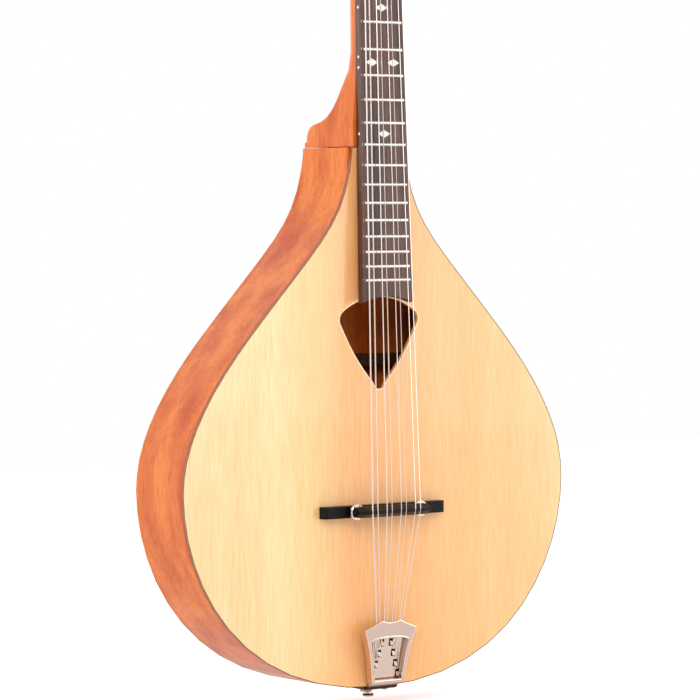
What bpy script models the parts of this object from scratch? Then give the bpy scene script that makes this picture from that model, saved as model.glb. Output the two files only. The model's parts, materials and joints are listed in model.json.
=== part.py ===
"""Irish bouzouki with a teardrop body, a floating bridge and four double courses.

Frame: +Z up along the neck, the soundboard and strings face -Y, the bass side is at -X.
The origin is at the nut, on the centre line, in the glue plane between neck and fingerboard.
Lengths are in millimetres and are turned to metres where a mesh is made.
"""
import math

import bmesh
import bpy
from mathutils import Matrix, Vector

# Scale and strings
SCALE = 660.0                 # nut to saddle
FRETS = 23
STRINGS = 8
STRING_RADII = (0.60, 0.60, 0.46, 0.46, 0.36, 0.36, 0.30, 0.30)
STRING_FLOOR = 8.4            # centre of the strings in front of the glue plane, at the nut
STRING_RISE = 3.1             # further out they are at the saddle
NUT_SPREAD = 27.6             # outer string to outer string
SADDLE_SPREAD = 45.6
NUT_PAIR = 3.2                # between the two strings of a course
SADDLE_PAIR = 4.8
TAIL_PAIR = 2.6
TAIL_SPREAD = 25.0

# Neck and fingerboard
NUT_WIDTH = 31.0
NUT_LENGTH = 5.0
NUT_HEIGHT = 8.7
BOARD_END_WIDTH = 46.6
BOARD_THICK = 6.2
FRET_WIDTH = 2.4
FRET_HEIGHT = 1.0
FRET_INSET = 0.6
NECK_DEPTH_NUT = 15.0         # neck wood behind the glue plane
NECK_DEPTH_HEEL = 19.2
HEEL_START = 312.0            # below the nut, where the neck begins to deepen
HEEL_TOP = 364.0              # below the nut, the upper face of the heel
HEEL_CORNER = 13.0            # radius of the corner between that face and the back
HEEL_SIDE = 24.6              # half width of the heel and of the rim at the neck joint
HEEL_CAP_THICK = 2.2

# Headstock
HEAD_TILT = 13.0              # degrees
HEAD_LENGTH = 168.0
HEAD_THICK = 15.0
HEAD_HALF = 32.0
HEAD_NECK_HALF = 16.6
HEAD_FLARE = 26.0             # along the headstock, where it reaches its full width
VENEER = 1.6

# Body, measured in its own tilted frame, depth from the outside of the soundboard
BODY_JOINT = 384.0            # below the nut
BODY_LENGTH = 412.0
BODY_DEPTH = 63.0
BODY_TILT = 1.9               # degrees that the body leans back from the neck
BODY_DROP = 1.0               # soundboard behind the glue plane at the joint
FLANK_HALF = 120.0            # half width of the body on its straight flank
FLANK_DOWN = 142.0            # below the neck joint
FLANK_ANGLE = 42.5            # degrees from the centre line
WIDEST_HALF = 180.5
WIDEST_DOWN = 257.0
TOP_THICK = 2.8
BACK_THICK = 2.8
SIDE_THICK = 2.4
LINING_WIDE = 6.0
LINING_DEEP = 12.0
BLOCK_LONG = 42.0
TAIL_BLOCK_HALF = 34.0
TAIL_BLOCK_LONG = 18.0
BRACE_WIDE = 9.0
TOP_BRACE_TALL = 14.0
BACK_BRACE_TALL = 13.0

# Soundhole, a rounded triangle
HOLE_APEX_DOWN = 113.8        # below the neck joint
HOLE_HALF = 38.4
HOLE_SHOULDER = 14.0          # corners below the apex
HOLE_LONG = 70.0
HOLE_CORNER = 5.0
HOLE_TIP = 8.0
HOLE_BULGE = 3.2              # how far the two long sides bow out

# Bridge
BRIDGE_LONG = 114.0
BRIDGE_WIDE = 9.0             # along the strings
BASE_TALL = 7.5
POST_HALF = 30.2              # from the centre to each threaded post
POST_RADIUS = 2.0
WHEEL_RADIUS = 6.1
WHEEL_THICK = 2.8
WHEEL_GAP = 2.9               # between base and wheel, which the saddle can be lowered by
POST_RISE = 1.6               # end of each post beyond its wheel
SADDLE_ARM = 4.4              # beyond each post
SADDLE_CREST = 2.6            # thickness of its upper edge
SADDLE_WIDE = 8.4

# Tailpiece
TAILPIECE_HIGH = 14.6         # outer face over the soundboard, at the end where strings enter
TAILPIECE_LOW = 9.8           # the same at the tail
TAILPIECE_LONG = 49.0
TAILPIECE_TOP_HALF = 24.6
TAILPIECE_FOOT_HALF = 15.2
TAILPIECE_CROWN_HALF = 8.6    # half width of the raised crown of its upper edge
TAILPIECE_CROWN = 7.0         # how far the crown stands over the corners
TAILPIECE_SHEET = 1.2
TAILPIECE_WALL = 5.8
PANEL_LONG = 16.6             # plain panel, from the corners to the foot of the arch
ARCH_RISE = 4.0
RAIL_WIDE = 2.6
FLOOR_DROP = 4.6              # hook plate below the outer face
FOOT_SET = 3.6                # foot of the frame above the tail
LEG_LONG = 30.0               # down the tail, from the soundboard
BEND_START = 4.0              # size of the bend from floor to leg
HOOK_LONG = 5.0
HOOK_WIDE = 2.6
HOOK_THICK = 0.9
HOOK_ROWS = 4
HOOK_FIRST = 7.0              # lowest hook above the frame's foot
HOOK_PITCH = 8.2
HOOK_HALF = 4.2               # from the centre to the uppermost hooks
HOOK_SLANT = 2.5              # each lower row stands further out, so that its strings pass
PIN_DEPTH = 15.5
PIN_RADIUS = 2.7
PIN_HEAD = 4.6
PIN_STANDOFF = 8.6
PIN_LONG = 20.0
SCREW_RADIUS = 1.3
SCREW_HEAD = 2.7
SCREW_LONG = 12.0

# Tuning machines, in the headstock's frame
POST_FIRST = 40.0             # from the nut end of the headstock to the first post
POST_PITCH = 29.0
POST_SIDE = 18.5
TUNER_POST_RADIUS = 3.0
TUNER_POST_TALL = 15.0        # over the veneer
WAIST_HEIGHT = 7.5            # string height over the veneer
WAIST_RADIUS = 2.3
GEAR_RADIUS = 6.4
GEAR_THICK = 4.0
PLATE_THICK = 1.2
WORM_RADIUS = 2.6
WORM_LONG = 9.6
SHAFT_RADIUS = 1.5
EAR_HALF = 7.2                # from the post's centre to each ear
EAR_THICK = 1.4
BUTTON_START = 4.0            # beyond the headstock's edge
BUTTON_LONG = 15.0
BUTTON_TALL = 7.0             # half of its long axis
BUTTON_THICK = 3.6            # half of its short axis

# Truss rod
ROD_WIDE = 5.6
ROD_DEEP = 8.6
ROD_START = 14.0              # beyond the nut, into the headstock
ROD_END = 372.0
COVER_LONG = 32.0
COVER_WIDE = 17.0
COVER_THICK = 1.8

GAP = 0.3                     # glue line or running clearance between two pieces
COURSES = STRINGS // 2
SIDES = (("bass", -1), ("treble", 1))
ROUND = 16
TAILPIECE_STEPS = 8

# Worked out
TILT = math.radians(BODY_TILT)
HEAD_ANGLE = math.radians(HEAD_TILT)
SADDLE_DOWN = SCALE - BODY_JOINT
WORM_SET = GEAR_RADIUS + WORM_RADIUS + GAP
PLATE_BACK = HEAD_THICK + GAP + PLATE_THICK
SHAFT_BACK = PLATE_BACK + WORM_RADIUS + GAP
GEAR_BACK = SHAFT_BACK - GEAR_THICK / 2
EAR_TALL = SHAFT_BACK + WORM_RADIUS - HEAD_THICK - GAP
TAIL_Z = -BODY_LENGTH


def metres(point):
    """Turn a point in millimetres into a vector in metres."""
    return Vector(point) * 0.001


def fret_down(number):
    """Distance of a fret below the nut in equal temperament."""
    return SCALE * (1.0 - 2.0 ** (-number / 12.0))


def mix(a, b, t):
    """Value between a and b."""
    return a + (b - a) * t


def board_half(down):
    """Half width of the fingerboard and neck at a distance below the nut."""
    return mix(NUT_WIDTH, BOARD_END_WIDTH, down / board_length()) / 2


def board_length():
    """The fingerboard ends at the upper edge of the soundhole."""
    return BODY_JOINT + HOLE_APEX_DOWN - GAP


def bezier(p0, p1, p2, p3, count):
    """Points of one cubic curve, its first point included and its last left out."""
    points = []
    for i in range(count):
        t = i / count
        a, b, c, d = (1 - t) ** 3, 3 * t * (1 - t) ** 2, 3 * t * t * (1 - t), t ** 3
        points.append(Vector(p0) * a + Vector(p1) * b + Vector(p2) * c + Vector(p3) * d)
    return points


def arc(centre, radius, start, end, count):
    """Points of an arc in degrees, both ends included."""
    points = []
    for i in range(count + 1):
        angle = math.radians(mix(start, end, i / count))
        points.append(Vector((centre[0] + radius * math.cos(angle), centre[1] + radius * math.sin(angle))))
    return points


def half_outline(steps=9):
    """Treble half of the body's outline in the body frame, from the neck joint to the tail."""
    lean = Vector((math.sin(math.radians(FLANK_ANGLE)), -math.cos(math.radians(FLANK_ANGLE))))
    joint = Vector((HEEL_SIDE, 0.0))
    flank = Vector((FLANK_HALF, -FLANK_DOWN))
    widest = Vector((WIDEST_HALF, -WIDEST_DOWN))
    tail = Vector((0.0, TAIL_Z))
    upper = FLANK_DOWN * 0.42
    lower = BODY_LENGTH - WIDEST_DOWN
    cheek = joint + Vector((upper * 0.13, -upper))
    points = bezier(joint, cheek, flank - lean * FLANK_DOWN * 0.74, flank, steps)
    shoulder = widest + Vector((0, lower * 0.23))
    points += bezier(flank, flank + lean * FLANK_DOWN * 0.40, shoulder, widest, steps)
    base = tail + Vector((WIDEST_HALF * 0.735, 0))
    points += bezier(widest, widest - Vector((0, lower * 0.42)), base, tail, steps + 3)
    return points + [tail]


def inset_outline(distance, first=0, last=None):
    """The half outline moved inwards by a distance."""
    points = half_outline()
    moved = []
    for i, point in enumerate(points):
        before = points[max(i - 1, 0)]
        after = points[min(i + 1, len(points) - 1)]
        along = (after - before).normalized()
        if i == len(points) - 1:
            along = Vector((-1.0, 0.0))
        moved.append(point + Vector((along.y, -along.x)) * distance)
    return moved[first:last]


def inner_half(z, distance):
    """Half width of the inset outline at a height z of the body frame."""
    points = inset_outline(distance)
    for a, b in zip(points, points[1:]):
        if b.y <= z <= a.y:
            return mix(a.x, b.x, (z - a.y) / (b.y - a.y)) if a.y != b.y else a.x
    return points[0].x


class Workshop:
    """Collects the empties and the finishes that the pieces share."""

    def __init__(self):
        for old in list(bpy.data.objects):
            bpy.data.objects.remove(old, do_unlink=True)
        self.body = self.frame("body_frame", (0, BODY_DROP, -BODY_JOINT), TILT)
        self.head = self.frame("headstock_frame", (0, 0, NUT_LENGTH + GAP), -HEAD_ANGLE)
        self.neck = self.frame("neck_frame", (0, 0, 0), 0.0)
        self.finishes = {
            "spruce": self.finish("spruce", (0.93, 0.72, 0.38), 0.25, 0.0),
            "mahogany": self.finish("mahogany", (0.45, 0.15, 0.05), 0.18, 0.0),
            "inner_wood": self.finish("inner_wood", (0.62, 0.42, 0.24), 0.7, 0.0),
            "rosewood": self.finish("rosewood", (0.10, 0.04, 0.03), 0.45, 0.0),
            "ebony": self.finish("ebony", (0.012, 0.010, 0.010), 0.4, 0.0),
            "bone": self.finish("bone", (0.85, 0.80, 0.68), 0.4, 0.0),
            "nickel": self.finish("nickel", (0.72, 0.68, 0.64), 0.18, 1.0),
            "chrome": self.finish("chrome", (0.80, 0.80, 0.82), 0.08, 1.0),
            "steel": self.finish("steel", (0.60, 0.58, 0.56), 0.3, 1.0),
            "pearloid": self.finish("pearloid", (0.88, 0.86, 0.80), 0.25, 0.0),
        }

    def frame(self, name, place, tilt):
        """An empty that carries a group of pieces."""
        empty = bpy.data.objects.new(name, None)
        bpy.context.collection.objects.link(empty)
        empty.location = metres(place)
        empty.rotation_euler = (tilt, 0.0, 0.0)
        return empty

    def finish(self, name, colour, roughness, metallic):
        """A plain surface finish."""
        material = bpy.data.materials.new(name)
        material.use_nodes = True
        shader = material.node_tree.nodes["Principled BSDF"]
        shader.inputs["Base Color"].default_value = (*colour, 1.0)
        shader.inputs["Roughness"].default_value = roughness
        shader.inputs["Metallic"].default_value = metallic
        return material

    def keep(self, name, build, finish, parent, place=(0, 0, 0), smooth=True):
        """Link a mesh as one named piece at its place in its parent's frame."""
        mesh = bpy.data.meshes.new(name)
        bmesh.ops.recalc_face_normals(build, faces=build.faces)
        build.to_mesh(mesh)
        build.free()
        if smooth:
            mesh.shade_smooth()
            mesh.set_sharp_from_angle(angle=math.radians(32))
        piece = bpy.data.objects.new(name, mesh)
        bpy.context.collection.objects.link(piece)
        if finish:
            mesh.materials.append(self.finishes[finish])
        piece.parent = parent
        piece.location = metres(place)
        return piece

    def tool(self, name, build, parent, place=(0, 0, 0)):
        """A cutter or an addition, which is hidden and is no piece of its own."""
        piece = self.keep(name, build, None, parent, place, smooth=False)
        piece.hide_render = True
        piece.display_type = "WIRE"
        piece.hide_viewport = False
        return piece


def boolean(piece, operand, operation):
    """Cut a tool from a piece, or join it on."""
    modifier = piece.modifiers.new(operation.lower() + "_" + operand.name, "BOOLEAN")
    modifier.operation = operation
    modifier.solver = "EXACT"
    modifier.object = operand
    return modifier


def loft(build, rings):
    """Skin a run of rings that have the same number of points, with both ends capped."""
    rows = [[build.verts.new(metres(point)) for point in ring] for ring in rings]
    for a, b in zip(rows, rows[1:]):
        for i in range(len(a)):
            j = (i + 1) % len(a)
            build.faces.new((a[i], a[j], b[j], b[i]))
    build.faces.new(rows[0])
    build.faces.new(list(reversed(rows[-1])))


def prism(build, outline, near, far, plane="xz"):
    """Extrude a flat outline between two distances along the third axis."""
    def place(point, distance):
        if plane == "xz":
            return (point[0], distance, point[1])
        if plane == "yz":
            return (distance, point[0], point[1])
        return (point[0], point[1], distance)
    loft(build, [[place(point, near) for point in outline], [place(point, far) for point in outline]])


def box(build, low, high):
    """A plain block between two corners."""
    outline = ((low[0], low[2]), (high[0], low[2]), (high[0], high[2]), (low[0], high[2]))
    prism(build, outline, low[1], high[1])


def lathe(build, profile, axis, centre=(0, 0, 0), sides=ROUND, flat=1.0, turn=0.5):
    """Turn a profile of (distance along the axis, radius) round an axis, with flat ends."""
    rings = []
    for along, radius in profile:
        ring = []
        for i in range(sides):
            angle = 2 * math.pi * (i + turn) / sides
            u, v = radius * math.cos(angle), radius * math.sin(angle) * flat
            offset = {"x": (along, v, u), "y": (u, along, v), "z": (u, v, along)}[axis]
            ring.append(Vector(centre) + Vector(offset))
        rings.append(ring)
    loft(build, rings)


def mirrored(outline):
    """Close a half outline with its mirror image, from the treble side round to the bass side."""
    treble = [Vector(point) for point in outline]
    bass = [Vector((-point[0], point[1])) for point in reversed(outline) if abs(point[0]) > 1e-6]
    return treble + bass


def hole_outline():
    """The soundhole: an upper arc, two bowed sides, rounded corners and a rounded tip."""
    radius = (HOLE_HALF ** 2 + HOLE_SHOULDER ** 2) / (2 * HOLE_SHOULDER)
    apex = -HOLE_APEX_DOWN
    sweep = math.degrees(math.asin((HOLE_HALF - HOLE_CORNER) / radius))
    top = arc((0.0, apex - radius), radius, 90.0, 90.0 - sweep, 8)
    corner = Vector((HOLE_HALF, apex - HOLE_SHOULDER - HOLE_CORNER * 0.5))
    tip = Vector((0.0, apex - HOLE_LONG))
    along = (tip - corner).normalized()
    out = Vector((-along.y, along.x))
    start = corner + along * HOLE_CORNER * 0.9 + out * HOLE_BULGE * 0.2
    end = tip - along * HOLE_TIP + out * HOLE_BULGE * 0.6
    ahead = top[-1] + (top[-1] - top[-2]).normalized() * HOLE_CORNER
    turn = bezier(top[-1], ahead, start - along * HOLE_CORNER * 0.6, start, 4)
    third = along * HOLE_LONG * 0.3
    side = bezier(start, start + third + out * HOLE_BULGE, end - third + out * HOLE_BULGE * 0.8, end, 8)
    nose = bezier(end, end + along * HOLE_TIP * 0.7, tip + Vector((HOLE_TIP * 0.55, 0.0)), tip, 4)
    return mirrored(top[:-1] + turn + side + nose + [tip])


def make_soundboard(shop):
    """The flat top with its soundhole."""
    build = bmesh.new()
    prism(build, mirrored(half_outline()), 0.0, TOP_THICK)
    top = shop.keep("soundboard", build, "spruce", shop.body)
    cutter = bmesh.new()
    prism(cutter, hole_outline(), -5.0, TOP_THICK + 5.0)
    boolean(top, shop.tool("soundhole_cutter", cutter, shop.body), "DIFFERENCE")


def make_back(shop):
    """The flat back."""
    build = bmesh.new()
    prism(build, mirrored(half_outline()), BODY_DEPTH - BACK_THICK, BODY_DEPTH)
    shop.keep("back_plate", build, "mahogany", shop.body)


def strip(build, outer, inner, near, far, side):
    """A bent strip between two runs of the half outline, and between two depths."""
    rings = []
    for a, b in zip(outer, inner):
        rings.append([(side * a.x, near, a.y), (side * a.x, far, a.y),
                      (side * b.x, far, b.y), (side * b.x, near, b.y)])
    loft(build, rings)


def clipped(points, top, centre):
    """Keep a run of the outline below a height and off the centre line."""
    kept = [point.copy() for point in points if point.y < top - 1.0 and point.x > centre + 1.0]
    first = Vector((kept[0].x, top))
    last = Vector((centre, kept[-1].y if points[-1].y > kept[-1].y else points[-1].y))
    return [first] + kept + [last]


def clears_tail(point, tail_end):
    """Whether a point of the outline is above the tail block or beside it."""
    return point.y > -BODY_LENGTH / 2 or point.x > tail_end


def make_rim(shop, tail_tool):
    """The two bent sides and the four linings that glue them to the plates."""
    near = TOP_THICK + GAP
    far = BODY_DEPTH - BACK_THICK - GAP
    lining = SIDE_THICK + GAP
    for label, side in SIDES:
        build = bmesh.new()
        outer = clipped(inset_outline(0.0), -GAP, GAP / 2)
        inner = clipped(inset_outline(SIDE_THICK), -GAP, GAP / 2)
        strip(build, outer, inner, near, far, side)
        piece = shop.keep("side_" + label, build, "mahogany", shop.body)
        boolean(piece, tail_tool, "DIFFERENCE")
        top_end = -BLOCK_LONG - 2 * GAP
        tail_end = TAIL_BLOCK_HALF + 2.0
        plates = (("top", near + GAP, near + LINING_DEEP), ("back", far - LINING_DEEP, far - GAP))
        for plate, start, end in plates:
            build = bmesh.new()
            pairs = zip(inset_outline(lining), inset_outline(lining + LINING_WIDE))
            kept = [(a, b) for a, b in pairs if max(a.y, b.y) < top_end and clears_tail(b, tail_end)]
            strip(build, [a for a, _ in kept], [b for _, b in kept], start, end, side)
            shop.keep("lining_" + plate + "_" + label, build, "inner_wood", shop.body)


def make_blocks(shop, tail_tool):
    """The neck block and the tail block between the two plates."""
    near = TOP_THICK + GAP
    far = BODY_DEPTH - BACK_THICK - GAP
    wall = SIDE_THICK + GAP
    build = bmesh.new()
    top, foot = -2 * GAP, -BLOCK_LONG
    between = [point for point in inset_outline(wall) if foot < point.y < top - 1.0]
    half = [Vector((inner_half(top, wall), top))] + between + [Vector((inner_half(foot, wall), foot))]
    prism(build, mirrored(half), near, far)
    shop.keep("neck_block", build, "inner_wood", shop.body)
    build = bmesh.new()
    lower = [point for point in inset_outline(wall) if point.y < -BODY_LENGTH / 2]
    curve = [point for point in lower if point.x < TAIL_BLOCK_HALF]
    straight = TAIL_Z + wall + TAIL_BLOCK_LONG
    outline = mirrored([Vector((curve[0].x, straight))] + curve)
    prism(build, outline, near, far)
    block = shop.keep("tail_block", build, "inner_wood", shop.body)
    boolean(block, tail_tool, "DIFFERENCE")


def make_braces(shop):
    """Cross braces, glued to the soundboard and the back, with their ends shaved down."""
    wall = SIDE_THICK + LINING_WIDE + 3 * GAP
    hole_foot = HOLE_APEX_DOWN + HOLE_LONG
    rows = (
        ("top_brace_upper", hole_foot + 16.0, TOP_THICK + GAP, 1, TOP_BRACE_TALL),
        ("top_brace_lower", SADDLE_DOWN + 48.0, TOP_THICK + GAP, 1, TOP_BRACE_TALL),
        ("back_brace_upper", hole_foot - 20.0, BODY_DEPTH - BACK_THICK - GAP, -1, BACK_BRACE_TALL),
        ("back_brace_lower", SADDLE_DOWN + 18.0, BODY_DEPTH - BACK_THICK - GAP, -1, BACK_BRACE_TALL),
    )
    for name, down, seat, way, tall in rows:
        reach = min(inner_half(-down + BRACE_WIDE / 2, wall), inner_half(-down - BRACE_WIDE / 2, wall))
        shoulder, crest = seat + way * tall * 0.35, seat + way * tall
        profile = [(-reach, seat), (reach, seat), (reach, shoulder), (reach * 0.72, crest)]
        profile += [(-reach * 0.72, crest), (-reach, shoulder)]
        build = bmesh.new()
        prism(build, profile, -down - BRACE_WIDE / 2, -down + BRACE_WIDE / 2, plane="xy")
        shop.keep(name, build, "inner_wood", shop.body, smooth=False)


def tail_cutter(shop):
    """Holes through the tail for the end pin and the tailpiece screws."""
    build = bmesh.new()
    low, high = TAIL_Z - 10.0, TAIL_Z + PIN_LONG + 4.0
    lathe(build, ((low, PIN_RADIUS + GAP), (high, PIN_RADIUS + GAP)), "z", (0, PIN_DEPTH, 0))
    for x, depth in screw_places():
        lathe(build, ((low, SCREW_RADIUS + GAP), (high, SCREW_RADIUS + GAP)), "z", (x, depth, 0), sides=10)
    return shop.tool("tail_holes", build, shop.body)


def screw_places():
    """The tailpiece screws as (x, depth) on the tail."""
    side = TAILPIECE_FOOT_HALF - 5.0
    return ((-side, PIN_DEPTH - 7.5), (side, PIN_DEPTH - 7.5), (0.0, PIN_DEPTH + 9.0))


def neck_depth(down):
    """Depth of the neck's back behind the glue plane, with the cove and corner of the heel."""
    if down <= HEEL_START:
        return mix(NECK_DEPTH_NUT, NECK_DEPTH_HEEL, down / HEEL_START)
    full = BODY_DROP + BODY_DEPTH - HEEL_CAP_THICK - GAP
    run = HEEL_TOP - HEEL_START
    cove = bezier((HEEL_START, NECK_DEPTH_HEEL), (HEEL_START + run * 0.68, NECK_DEPTH_HEEL + 1.0),
                  (HEEL_TOP - 2.0, full * 0.48), (HEEL_TOP, full - HEEL_CORNER), 24)
    cove.append(Vector((HEEL_TOP, full - HEEL_CORNER)))
    for a, b in zip(cove, cove[1:]):
        if a.x <= down <= b.x:
            return mix(a.y, b.y, (down - a.x) / (b.x - a.x))
    reach = min((down - HEEL_TOP) / HEEL_CORNER, 1.0)
    return full - HEEL_CORNER + HEEL_CORNER * math.sqrt(max(0.0, 1.0 - (1.0 - reach) ** 2))


def make_neck(shop):
    """Neck, heel and headstock in one piece, with the truss rod's groove and the post holes."""
    shelf = -NUT_LENGTH - GAP
    stations = [shelf - 12.0, shelf, 0.0, HEEL_START * 0.5, HEEL_START]
    stations += [HEEL_START + (HEEL_TOP - HEEL_START) * t for t in (0.25, 0.5, 0.68, 0.82, 0.92, 0.98, 1.0)]
    stations += [HEEL_TOP + HEEL_CORNER * t for t in (0.06, 0.2, 0.45, 0.75, 1.0)]
    stations += [BODY_JOINT - GAP]
    rings = []
    for down in stations:
        sink = max(shelf - down, 0.0) * (math.tan(HEAD_ANGLE) + 0.03)
        heel = min(max((down - HEEL_START) / (HEEL_TOP - HEEL_START), 0.0), 1.0)
        half = mix(board_half(max(down, 0.0)), HEEL_SIDE, heel ** 2)
        power = mix(2.1, 40.0, heel ** 3)
        depth = neck_depth(max(down, 0.0))
        lean = math.tan(TILT) * (max(down - HEEL_TOP, 0.0) / (BODY_JOINT - HEEL_TOP))
        ring = []
        for i in range(13):
            angle = math.pi * i / 12
            c, s = math.cos(angle), math.sin(angle)
            x = -half * math.copysign(abs(c) ** (2 / power), c)
            y = depth * abs(s) ** (2 / power)
            ring.append((x, sink + y, -down + y * lean))
        rings.append(ring)
    build = bmesh.new()
    loft(build, rings)
    neck = shop.keep("neck", build, "mahogany", shop.neck)
    boolean(neck, head_blank(shop), "UNION")
    boolean(neck, head_cutter(shop), "DIFFERENCE")
    groove = bmesh.new()
    wide = ROD_WIDE / 2 + GAP
    box(groove, (-wide, -6.0, -ROD_END - GAP), (wide, ROD_DEEP + 2 * GAP, ROD_START + GAP + 6.0))
    boolean(neck, shop.tool("truss_rod_groove", groove, shop.neck), "DIFFERENCE")
    build = bmesh.new()
    box(build, (-ROD_WIDE / 2, GAP, -ROD_END), (ROD_WIDE / 2, GAP + ROD_DEEP, ROD_START - 8.0))
    rod = shop.keep("truss_rod", build, "steel", shop.neck, smooth=False)
    nut = bmesh.new()
    radius = ROD_DEEP * 0.3
    lathe(nut, ((ROD_START - 9.0, radius), (ROD_START, radius)), "z", (0, GAP + ROD_DEEP / 2, 0), sides=6)
    boolean(rod, shop.tool("truss_rod_end", nut, shop.neck), "UNION")


def head_outline(margin=0.0):
    """The headstock's face: flared from the nut, straight along the machines, with a scooped crown."""
    foot = HEAD_NECK_HALF - margin
    half = HEAD_HALF - margin
    top = HEAD_LENGTH - margin
    flare = bezier((foot, margin), (foot, HEAD_FLARE * 0.45),
                   (half, HEAD_FLARE * 0.55), (half, HEAD_FLARE), 6)
    side = [Vector((half, HEAD_FLARE)), Vector((half + 1.0, top - 16.0))]
    ear = bezier((half + 1.0, top - 8.0), (half, top - 2.0), (half * 0.80, top), (half * 0.62, top - 1.5), 5)
    scoop = bezier((half * 0.62, top - 1.5), (half * 0.40, top - 3.6),
                   (half * 0.2, top - 5.6), (0.0, top - 5.6), 4)
    return mirrored(flare + side + ear + scoop + [Vector((0.0, top - 5.6))])


def head_blank(shop):
    """The headstock's block, which is joined to the neck."""
    build = bmesh.new()
    prism(build, head_outline(), 0.0, HEAD_THICK)
    return shop.tool("headstock_block", build, shop.head)


def post_places():
    """Each tuning post as (label, side, number, x, distance along the headstock)."""
    places = []
    for label, side in SIDES:
        for number in range(COURSES):
            places.append((label, side, number + 1, side * POST_SIDE, POST_FIRST + POST_PITCH * number))
    return places


def head_cutter(shop):
    """Holes through the headstock for the eight posts."""
    build = bmesh.new()
    radius = TUNER_POST_RADIUS + GAP
    for _, _, _, x, along in post_places():
        lathe(build, ((-6.0, radius), (HEAD_THICK + 6.0, radius)), "y", (x, 0, along), sides=12)
    return shop.tool("post_holes", build, shop.head)


def make_headstock_face(shop):
    """Face veneer and the cover over the truss rod's end."""
    start = 2.0
    build = bmesh.new()
    outline = [point for point in head_outline(GAP)]
    outline = [Vector((point.x, max(point.y, start))) for point in outline]
    prism(build, outline, -GAP - VENEER, -GAP)
    veneer = shop.keep("headstock_veneer", build, "rosewood", shop.head)
    cutter = bmesh.new()
    radius = TUNER_POST_RADIUS + GAP
    for _, _, _, x, along in post_places():
        lathe(cutter, ((-6.0, radius), (6.0, radius)), "y", (x, 0, along), sides=12)
    pocket = ROD_WIDE / 2 + GAP
    box(cutter, (-pocket, -6.0, start + 1.5), (pocket, 6.0, ROD_START + 8.0))
    boolean(veneer, shop.tool("veneer_holes", cutter, shop.head), "DIFFERENCE")
    front = -2 * GAP - VENEER
    half = COVER_WIDE / 2
    foot = start + 0.4
    outline = [Vector((half, foot)), Vector((half, foot + COVER_LONG * 0.35))]
    outline += bezier((half, foot + COVER_LONG * 0.35), (half * 0.9, foot + COVER_LONG * 0.7),
                      (half * 0.3, foot + COVER_LONG * 0.8), (0.0, foot + COVER_LONG), 6)[1:]
    outline = mirrored(outline + [Vector((0.0, foot + COVER_LONG))])
    build = bmesh.new()
    prism(build, outline, front - COVER_THICK, front)
    shop.keep("truss_rod_cover", build, "ebony", shop.head)


def make_fingerboard(shop):
    """Tapered board whose end follows the soundhole, with its frets pressed in, and its support."""
    length = board_length()
    radius = (HOLE_HALF ** 2 + HOLE_SHOULDER ** 2) / (2 * HOLE_SHOULDER)
    half = BOARD_END_WIDTH / 2
    sweep = math.degrees(math.asin(half / radius))
    end = arc((0.0, -length - radius), radius, 90.0 - sweep, 90.0, 7)
    outline = mirrored([Vector((NUT_WIDTH / 2, -GAP))] + end)
    build = bmesh.new()
    prism(build, outline, -GAP - BOARD_THICK, -GAP)
    board = shop.keep("fingerboard", build, "rosewood", shop.neck)
    frets = bmesh.new()
    face = -GAP - BOARD_THICK
    for number in range(1, FRETS + 1):
        down = fret_down(number)
        reach = board_half(down) - FRET_INSET
        foot, brow = FRET_WIDTH / 2, FRET_WIDTH * 0.22
        crown = [(-foot, 1.0), (foot, 1.0), (foot, -FRET_HEIGHT * 0.45)]
        crown += [(brow, -FRET_HEIGHT), (-brow, -FRET_HEIGHT), (-foot, -FRET_HEIGHT * 0.45)]
        prism(frets, [(face + rise, -down + along) for along, rise in crown], -reach, reach, plane="yz")
    boolean(board, shop.tool("frets", frets, shop.neck), "UNION")
    start, inset = 14.0, 3.0
    build = bmesh.new()
    rings = []
    for down in (BODY_JOINT + start, length - 4.0):
        width = board_half(down) - inset
        back = BODY_DROP + (down - BODY_JOINT) * math.tan(TILT) - 2 * GAP
        rings.append([(-width, 0.0, -down), (width, 0.0, -down), (width, back, -down), (-width, back, -down)])
    loft(build, rings)
    shop.keep("fingerboard_support", build, "mahogany", shop.neck, smooth=False)


def string_height(down):
    """Distance of the strings in front of the glue plane."""
    return STRING_FLOOR + STRING_RISE * down / SCALE


def string_over_top():
    """Distance of the strings from the soundboard at the saddle."""
    return (string_height(SCALE) + BODY_DROP) * math.cos(TILT) + SADDLE_DOWN * math.sin(TILT)


def course_offset(string, spread, pair):
    """Sideways place of one string where the outer strings are a spread apart."""
    course, member = divmod(string, 2)
    middle = (spread - pair) * (course / (COURSES - 1) - 0.5)
    return middle + pair * (member - 0.5)


def make_nut(shop):
    """Bone nut with a groove for each string."""
    build = bmesh.new()
    half = NUT_WIDTH / 2
    profile = [(GAP, -GAP), (NUT_LENGTH, -GAP), (NUT_LENGTH, -NUT_HEIGHT + 2.6)]
    profile += [(NUT_LENGTH - 2.0, -NUT_HEIGHT + 0.5), (GAP + 0.6, -NUT_HEIGHT), (GAP, -NUT_HEIGHT + 0.5)]
    prism(build, [(rise, along) for along, rise in profile], -half, half, plane="yz")
    nut = shop.keep("nut", build, "bone", shop.neck, smooth=False)
    grooves = bmesh.new()
    for string in range(STRINGS):
        x = course_offset(string, NUT_SPREAD, NUT_PAIR)
        wide = STRING_RADII[string] + GAP
        lean = math.tan(HEAD_ANGLE)
        deep = -STRING_FLOOR + STRING_RADII[string] + GAP
        rings = []
        for along in (-4.0, NUT_LENGTH + 4.0):
            floor = deep + max(along, 0.0) * lean
            rings.append([(x - wide, floor, along), (x + wide, floor, along),
                          (x + wide, -20.0, along), (x - wide, -20.0, along)])
        loft(grooves, rings)
    boolean(nut, shop.tool("nut_grooves", grooves, shop.neck), "DIFFERENCE")


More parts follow.
